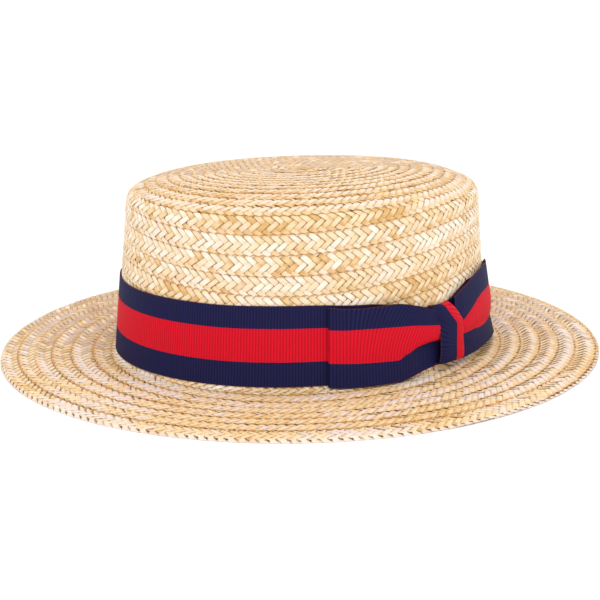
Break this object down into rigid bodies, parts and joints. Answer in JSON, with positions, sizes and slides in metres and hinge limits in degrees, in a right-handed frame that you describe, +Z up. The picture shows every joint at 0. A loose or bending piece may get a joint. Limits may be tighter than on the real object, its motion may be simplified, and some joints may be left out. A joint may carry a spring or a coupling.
{
  "type": "straw boater hat",
  "caption": "Flat-topped oval straw boater of sewn plait with a level brim, a striped ribbon hatband and a flat side bow.",
  "frame": {"origin": "on the surface the hat rests on, under the middle of the oval crown", "axes": "+Z up through the tip, -Y to the front of the hat, +X to the wearer's left, where the bow is"},
  "size_m": [0.2966, 0.337, 0.0971],
  "materials": {
    "straw": "natural wheat straw plait, pale gold with cream strands, satin sheen",
    "ribbon": "ribbed grosgrain ribbon, navy with a red centre stripe, soft sheen"
  },
  "bodies": {
    "root": {"crown": "straw", "brim": "straw", "hat_band": "ribbon", "bow_front_loop": "ribbon", "bow_back_loop": "ribbon", "bow_knot": "ribbon"}
  },
  "joints": []
}
